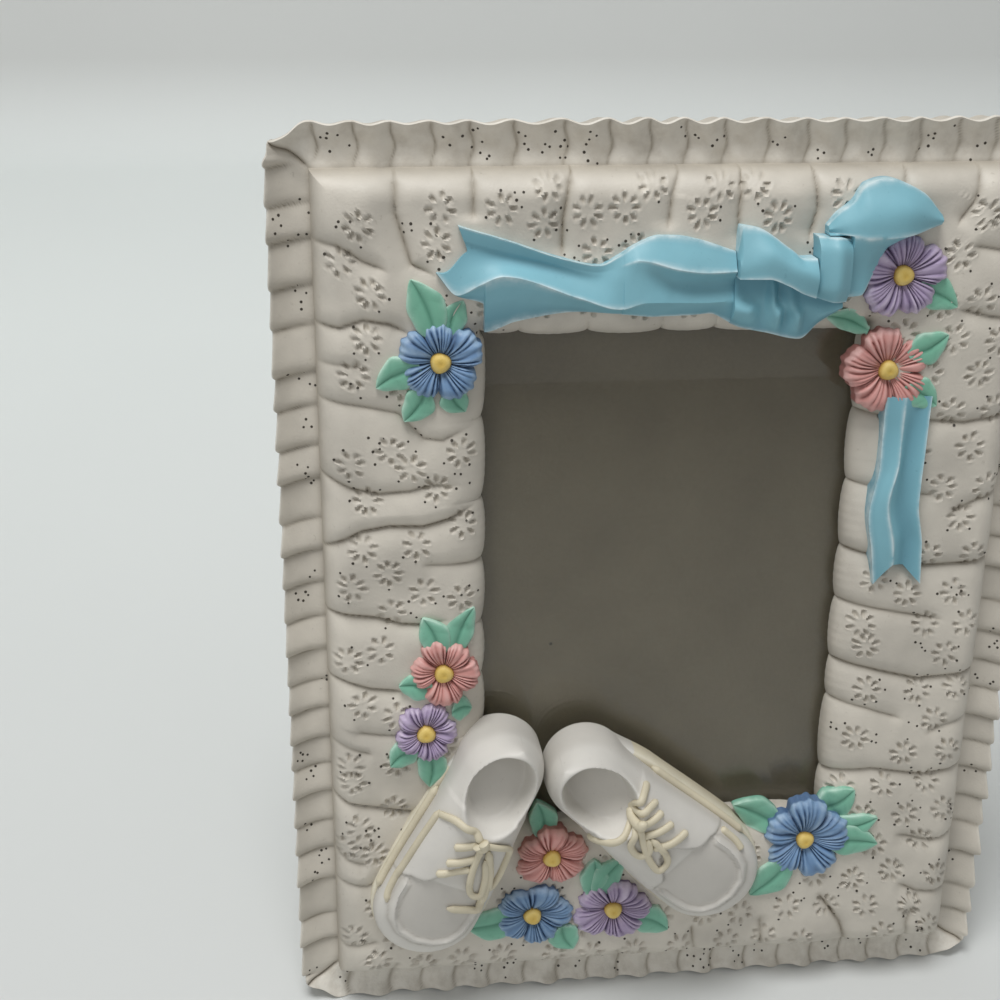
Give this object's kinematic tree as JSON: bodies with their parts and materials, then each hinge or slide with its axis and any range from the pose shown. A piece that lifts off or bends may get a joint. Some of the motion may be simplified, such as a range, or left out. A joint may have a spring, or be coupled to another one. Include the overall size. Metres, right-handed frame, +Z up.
{
  "type": "photo frame",
  "caption": "Standing photo frame with a cast border like gathered eyelet fabric, a ribbon bow, flowers and baby shoes, a glazed window and a hinged easel leg",
  "frame": {"origin": "on the surface it stands on, under the middle of its outer box", "axes": "+Z up, -Y towards the viewer in front of the picture, +X to the viewer's right"},
  "size_m": [0.174, 0.0852, 0.2115],
  "materials": {
    "resin_ivory": "cast resin, painted ivory and satin, aged",
    "clear_glass": "clear and smooth",
    "chipboard": "grey-brown chipboard, matte",
    "black_board": "dense black board, matte",
    "velvet_grey": "flocked, matte",
    "steel": "plain sheet steel, satin",
    "brass": "thin stamped brass, satin",
    "ribbon_blue": "cast resin, painted soft blue",
    "blue": "cast resin, painted blue",
    "pink": "cast resin, painted dusty pink",
    "purple": "cast resin, painted lilac",
    "yellow": "cast resin, painted yellow",
    "leaf_green": "cast resin, painted mint green",
    "sole_cream": "cast resin, painted cream",
    "shoe_white": "cast resin, painted white",
    "lace_cream": "cast resin, painted cream"
  },
  "bodies": {
    "frame": {"front_casting": "resin_ivory", "glass_pane": "clear_glass", "backing_card": "chipboard", "easel_back_board": "black_board", "back_velvet": "velvet_grey", "hinge_leaf_back": "steel", "hinge_pin": "steel", "rivet_back_left": "steel", "rivet_back_right": "steel", "button_screw_left_low": "steel", "button_screw_left_high": "steel", "button_screw_right_low": "steel", "button_screw_right_high": "steel", "ribbon_tail_left": "ribbon_blue", "ribbon_wave": "ribbon_blue", "ribbon_drape": "ribbon_blue", "bow_loop_left": "ribbon_blue", "bow_knot": "ribbon_blue", "bow_loop_right": "ribbon_blue", "ribbon_tail_right": "ribbon_blue", "flower_top_left": "blue", "flower_left_upper": "pink", "flower_left_lower": "purple", "flower_bottom_upper": "pink", "flower_bottom_left": "blue", "flower_bottom_middle": "purple", "flower_bottom_right": "blue", "flower_top_right_upper": "purple", "flower_top_right_lower": "pink", "eye_top_left": "yellow", "eye_left_upper": "yellow", "eye_left_lower": "yellow", "eye_bottom_upper": "yellow", "eye_bottom_left": "yellow", "eye_bottom_middle": "yellow", "eye_bottom_right": "yellow", "eye_top_right_upper": "yellow", "eye_top_right_lower": "yellow", "leaves_top_left": "leaf_green", "leaves_left": "leaf_green", "leaves_bottom": "leaf_green", "leaves_bottom_right": "leaf_green", "leaves_top_right": "leaf_green", "shoe_left_sole": "sole_cream", "shoe_left_upper": "shoe_white", "shoe_left_laces": "lace_cream", "shoe_right_sole": "sole_cream", "shoe_right_upper": "shoe_white", "shoe_right_laces": "lace_cream"},
    "leg": {"easel_leg_board": "black_board", "leg_velvet": "velvet_grey", "hinge_leaf_leg": "steel", "rivet_leg_left": "steel", "rivet_leg_right": "steel"},
    "button_left_low": {"turn_button_left_low": "brass"},
    "button_left_high": {"turn_button_left_high": "brass"},
    "button_right_low": {"turn_button_right_low": "brass"},
    "button_right_high": {"turn_button_right_high": "brass"}
  },
  "joints": [
    {"name": "leg_hinge", "type": "hinge", "parent": "frame", "child": "leg", "pos_m": [0, 0.00835, 0.1354], "axis": [1, 0, 0], "range_deg": [-26, 0]},
    {"name": "button_left_low_turn", "type": "hinge", "parent": "frame", "child": "button_left_low", "pos_m": [-0.0514, -0.00702, 0.07222], "axis": [0, 0.9781, -0.2079], "range_deg": [0, 90]},
    {"name": "button_left_high_turn", "type": "hinge", "parent": "frame", "child": "button_left_high", "pos_m": [-0.0514, 0.00774, 0.14166], "axis": [0, 0.9781, -0.2079], "range_deg": [0, 90]},
    {"name": "button_right_low_turn", "type": "hinge", "parent": "frame", "child": "button_right_low", "pos_m": [0.0514, -0.00702, 0.07222], "axis": [0, 0.9781, -0.2079], "range_deg": [0, 90]},
    {"name": "button_right_high_turn", "type": "hinge", "parent": "frame", "child": "button_right_high", "pos_m": [0.0514, 0.00774, 0.14166], "axis": [0, 0.9781, -0.2079], "range_deg": [0, 90]}
  ]
}
